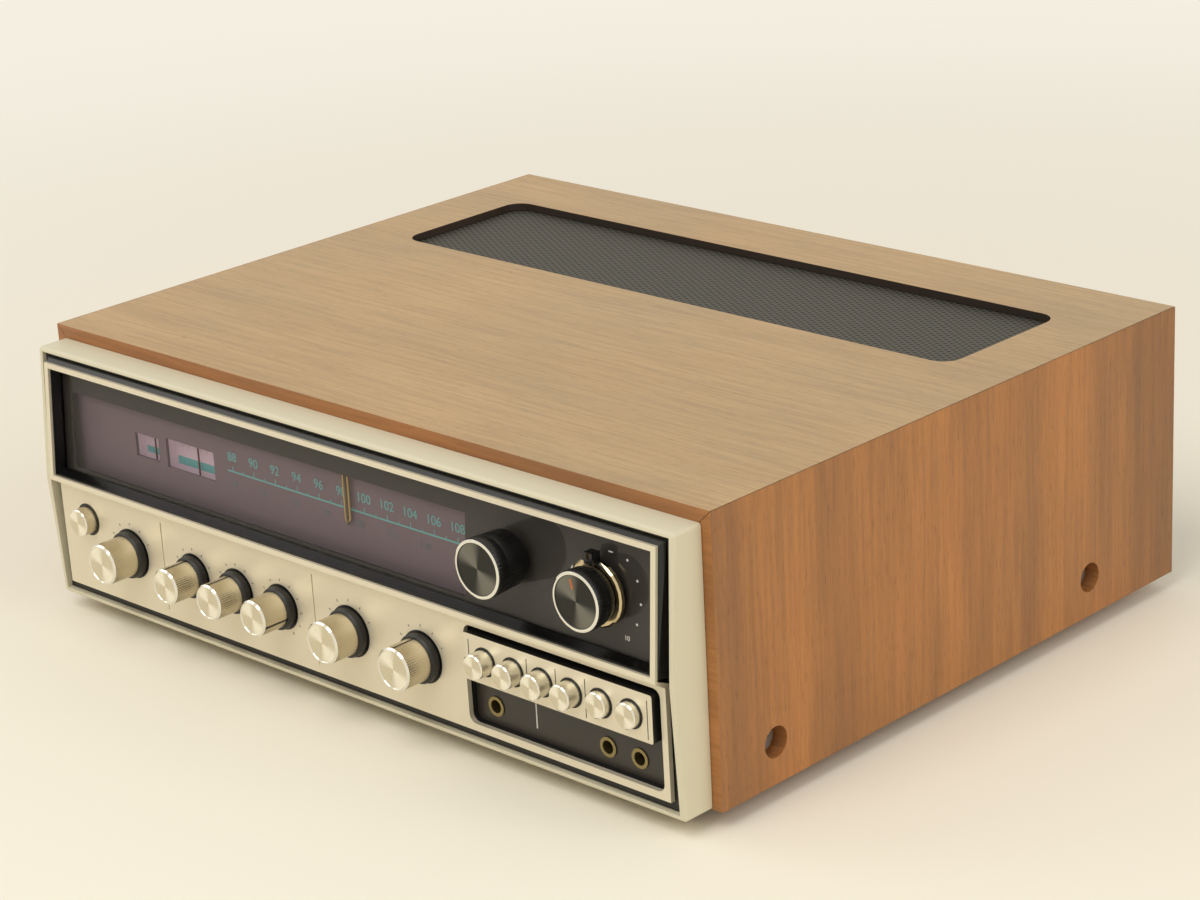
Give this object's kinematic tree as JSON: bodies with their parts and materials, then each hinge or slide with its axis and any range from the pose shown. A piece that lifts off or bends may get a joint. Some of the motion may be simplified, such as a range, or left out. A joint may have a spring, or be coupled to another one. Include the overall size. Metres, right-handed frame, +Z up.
{
  "type": "stereo receiver",
  "caption": "Stereo receiver in a walnut sleeve with a cream bezel, a black dial window, turning knobs, a cord-driven dial pointer, push buttons and front jacks.",
  "frame": {"origin": "middle of the bounding box's underside, on the surface that the feet stand on", "axes": "+X to the right as seen from the front, along the width; +Y from the front to the rear; +Z up"},
  "size_m": [0.44, 0.381, 0.1474],
  "materials": {
    "walnut": "oiled walnut veneer",
    "grille": "black perforated steel",
    "steel": "zinc plated",
    "base": "black paint",
    "cream": "cream paint, satin",
    "black_plastic": "black satin",
    "champagne": "brushed, champagne anodised",
    "aluminium": "turned, polished chamfer",
    "black_metal": "black, spun face",
    "glass": "smoked glass",
    "dial": "dark printed",
    "meter": "printed face",
    "needle": "red",
    "pointer": "gold",
    "lamp": "clear",
    "nylon": "nylon",
    "brass": "turned",
    "board": "laminate"
  },
  "bodies": {
    "receiver": {"cabinet_top": "walnut", "cabinet_left_side": "walnut", "cabinet_right_side": "walnut", "vent_grille": "grille", "rear_panel": "grille", "cabinet_screw_1": "steel", "cabinet_screw_2": "steel", "cabinet_screw_3": "steel", "cabinet_screw_4": "steel", "chassis": "steel", "sub_panel": "steel", "control_bracket": "steel", "button_switch_bank": "steel", "gang_frame": "steel", "pointer_rail": "steel", "volume_control": "steel", "power_transformer": "steel", "bottom_cover": "base", "bezel": "cream", "bezel_liner": "black_plastic", "window_surround": "black_plastic", "dial_mask": "black_plastic", "jack_panel": "black_plastic", "filter_capacitors": "black_plastic", "front_panel": "champagne", "button_plate": "champagne", "heat_sink": "aluminium", "dial_glass": "glass", "dial_plate": "dial", "meters": "meter", "dial_lamps": "lamp", "dial_cord": "nylon", "front_jack_1": "brass", "front_jack_2": "brass", "front_jack_3": "brass", "circuit_board": "board"},
    "tuning": {"tuning_knob": "black_metal", "tuning_shaft": "steel"},
    "drum": {"dial_drum": "nylon", "gang_rotor": "steel"},
    "pointer": {"dial_pointer": "pointer"},
    "volume": {"volume_knob": "black_metal"},
    "balance": {"balance_ring": "champagne"},
    "power": {"power_button": "champagne"},
    "signal": {"signal_needle": "needle"},
    "tuning_meter": {"tuning_needle": "needle"},
    "antenna": {"antenna_bar": "black_plastic"},
    "speakers": {"speakers_knob": "aluminium"},
    "bass": {"bass_knob": "aluminium"},
    "mid": {"mid_knob": "aluminium"},
    "treble": {"treble_knob": "aluminium"},
    "mode": {"mode_knob": "aluminium"},
    "selector": {"selector_knob": "aluminium"},
    "button_1": {"push_button_1": "champagne"},
    "button_2": {"push_button_2": "champagne"},
    "button_3": {"push_button_3": "champagne"},
    "button_4": {"push_button_4": "champagne"},
    "button_5": {"push_button_5": "champagne"},
    "button_6": {"push_button_6": "champagne"}
  },
  "joints": [
    {"name": "tuning_turn", "type": "hinge", "parent": "receiver", "child": "tuning", "pos_m": [0.11461, -0.1887, 0.1073], "axis": [0, 1, 0], "range_deg": [-1031, 1031]},
    {"name": "drum_turn", "type": "hinge", "parent": "receiver", "child": "drum", "pos_m": [-0.01034, -0.131, 0.071], "axis": [0, 1, 0], "range_deg": [-90, 90]},
    {"name": "pointer_slide", "type": "slide", "parent": "receiver", "child": "pointer", "axis": [1, 0, 0], "range_m": [-0.0722, 0.0722]},
    {"name": "volume_turn", "type": "hinge", "parent": "receiver", "child": "volume", "pos_m": [0.1685, -0.1836, 0.104], "axis": [0, 1, 0], "range_deg": [-135, 165]},
    {"name": "balance_turn", "type": "hinge", "parent": "receiver", "child": "balance", "pos_m": [0.1685, -0.1718, 0.104], "axis": [0, 1, 0], "range_deg": [-60, 60]},
    {"name": "speakers_turn", "type": "hinge", "parent": "receiver", "child": "speakers", "pos_m": [-0.1533, -0.1905, 0.0445], "axis": [0, 1, 0], "range_deg": [-30, 120]},
    {"name": "bass_turn", "type": "hinge", "parent": "receiver", "child": "bass", "pos_m": [-0.1052, -0.1898, 0.0445], "axis": [0, 1, 0], "range_deg": [-150, 150]},
    {"name": "mid_turn", "type": "hinge", "parent": "receiver", "child": "mid", "pos_m": [-0.0729, -0.1898, 0.0445], "axis": [0, 1, 0], "range_deg": [-150, 150]},
    {"name": "treble_turn", "type": "hinge", "parent": "receiver", "child": "treble", "pos_m": [-0.0407, -0.1898, 0.0445], "axis": [0, 1, 0], "range_deg": [-260, 40]},
    {"name": "mode_turn", "type": "hinge", "parent": "receiver", "child": "mode", "pos_m": [0.0077, -0.1892, 0.0445], "axis": [0, 1, 0], "range_deg": [0, 120]},
    {"name": "selector_turn", "type": "hinge", "parent": "receiver", "child": "selector", "pos_m": [0.0561, -0.1896, 0.0445], "axis": [0, 1, 0], "range_deg": [-60, 60]},
    {"name": "power_push", "type": "slide", "parent": "receiver", "child": "power", "axis": [0, 1, 0], "range_m": [0, 0.003]},
    {"name": "button_1_push", "type": "slide", "parent": "receiver", "child": "button_1", "axis": [0, 1, 0], "range_m": [0, 0.0038]},
    {"name": "button_2_push", "type": "slide", "parent": "receiver", "child": "button_2", "axis": [0, 1, 0], "range_m": [0, 0.0038]},
    {"name": "button_3_push", "type": "slide", "parent": "receiver", "child": "button_3", "axis": [0, 1, 0], "range_m": [0, 0.0038]},
    {"name": "button_4_push", "type": "slide", "parent": "receiver", "child": "button_4", "axis": [0, 1, 0], "range_m": [0, 0.0038]},
    {"name": "button_5_push", "type": "slide", "parent": "receiver", "child": "button_5", "axis": [0, 1, 0], "range_m": [-0.0038, 0]},
    {"name": "button_6_push", "type": "slide", "parent": "receiver", "child": "button_6", "axis": [0, 1, 0], "range_m": [-0.0038, 0]},
    {"name": "signal_needle_turn", "type": "hinge", "parent": "receiver", "child": "signal", "pos_m": [-0.1466, -0.1535, 0.0859], "axis": [0, 1, 0], "range_deg": [-20, 20], "stiffness_Nm_per_rad": 0.0002},
    {"name": "tuning_needle_turn", "type": "hinge", "parent": "receiver", "child": "tuning_meter", "pos_m": [-0.1136, -0.1535, 0.0849], "axis": [0, 1, 0], "range_deg": [-25, 25], "stiffness_Nm_per_rad": 0.0002},
    {"name": "antenna_swing", "type": "hinge", "parent": "receiver", "child": "antenna", "pos_m": [-0.07, 0.1855, 0.112], "axis": [0, 0, 1], "range_deg": [0, 90]}
  ],
  "couplings": [
    {"joint": "drum_turn", "follows": "tuning_turn", "ratio": 0.086957},
    {"joint": "pointer_slide", "follows": "tuning_turn", "m_per_rad": 0.004}
  ]
}
